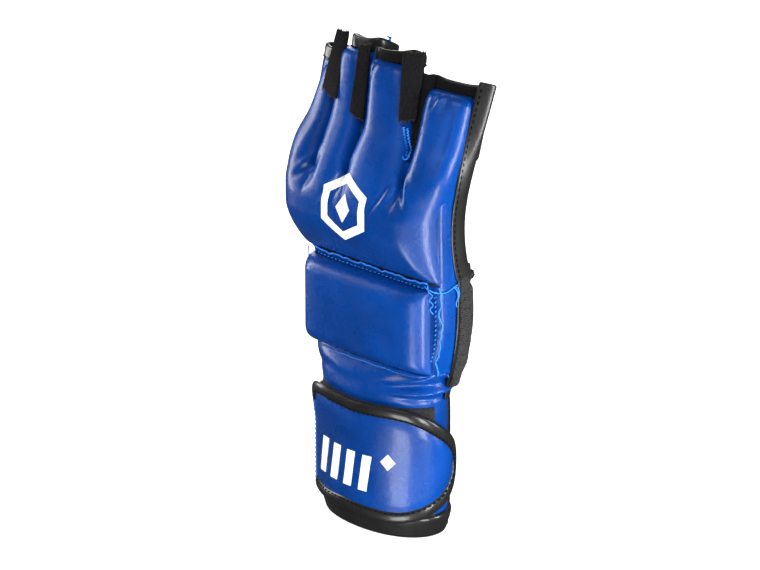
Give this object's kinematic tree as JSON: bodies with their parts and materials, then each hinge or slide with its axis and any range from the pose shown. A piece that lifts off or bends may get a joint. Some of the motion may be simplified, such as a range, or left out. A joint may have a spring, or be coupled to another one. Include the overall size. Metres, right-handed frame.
{
  "type": "grappling glove",
  "caption": "Open-finger grappling glove for the left hand, with a padded back, a thumb opening and a wrap-round closure strap.",
  "frame": {"origin": "centre of the wrist opening, in the plane of the cuff's hem", "axes": "+Z along the fingers, +X towards the thumb's side, -Y out of the back of the hand"},
  "size_m": [0.1044, 0.0636, 0.255],
  "materials": {
    "blue_leather": "grained, satin",
    "black_leather": "grained, satin",
    "black_binding": "smooth, glossy",
    "black_elastic": "ribbed, matte",
    "black_lining": "brushed, matte",
    "loop_pile": "looped pile, matte",
    "hook_tape": "hooked, matte",
    "foam": "closed-cell foam, matte",
    "blue_thread": "twisted thread"
  },
  "bodies": {
    "cuff": {"cuff_lining": "black_lining", "cuff_dorsal_panel": "blue_leather", "cuff_palmar_panel": "black_leather", "cuff_hem_binding": "black_binding", "loop_pile_patch": "loop_pile", "cuff_elastic_band": "black_elastic", "strap_anchor_band": "blue_leather"},
    "strap": {"strap_face": "blue_leather", "strap_backing": "black_lining", "strap_hook_patch": "hook_tape", "strap_edge_binding": "black_binding"},
    "hand": {"dorsal_panel": "blue_leather", "dorsal_lining": "black_lining", "little_side_panel": "blue_leather", "thumb_side_wrap": "blue_leather", "thumb_side_elastic": "black_elastic", "thumb_edge_binding": "black_binding", "palm_panel": "black_leather", "palm_window_binding": "black_binding", "thumb_hole_binding": "black_binding", "hand_pad_foam": "foam", "hand_pad_cover": "blue_leather", "hand_pad_stitching": "blue_thread", "knuckle_pad_foam": "foam", "knuckle_pad_cover": "blue_leather"},
    "fingers": {"little_finger_foam": "foam", "little_finger_pad_cover": "blue_leather", "little_stall": "black_leather", "little_rim_binding": "black_binding", "ring_finger_foam": "foam", "ring_finger_pad_cover": "blue_leather", "ring_stall": "black_leather", "ring_rim_binding": "black_binding", "middle_finger_foam": "foam", "middle_finger_pad_cover": "blue_leather", "middle_stall": "black_leather", "middle_rim_binding": "black_binding", "index_finger_foam": "foam", "index_finger_pad_cover": "blue_leather", "index_stall": "black_leather", "index_rim_binding": "black_binding", "little_ring_gusset": "black_elastic", "ring_middle_gusset": "black_elastic", "middle_index_gusset": "black_elastic", "index_edge_binding": "black_binding", "little_edge_binding": "black_binding"}
  },
  "joints": [
    {"name": "wrist_flex", "type": "hinge", "parent": "cuff", "child": "hand", "pos_m": [0, 0, 0.078], "axis": [-1, 0, 0], "range_deg": [-25, 30], "stiffness_Nm_per_rad": 1.2},
    {"name": "finger_flex", "type": "hinge", "parent": "hand", "child": "fingers", "pos_m": [0, 0.003, 0.2], "axis": [-1, 0, 0], "range_deg": [0, 40], "stiffness_Nm_per_rad": 0.4},
    {"name": "strap_swing", "type": "hinge", "parent": "cuff", "child": "strap", "pos_m": [-0.0366, -0.0139, 0.039], "axis": [0, 0, -1], "range_deg": [0, 150]}
  ]
}
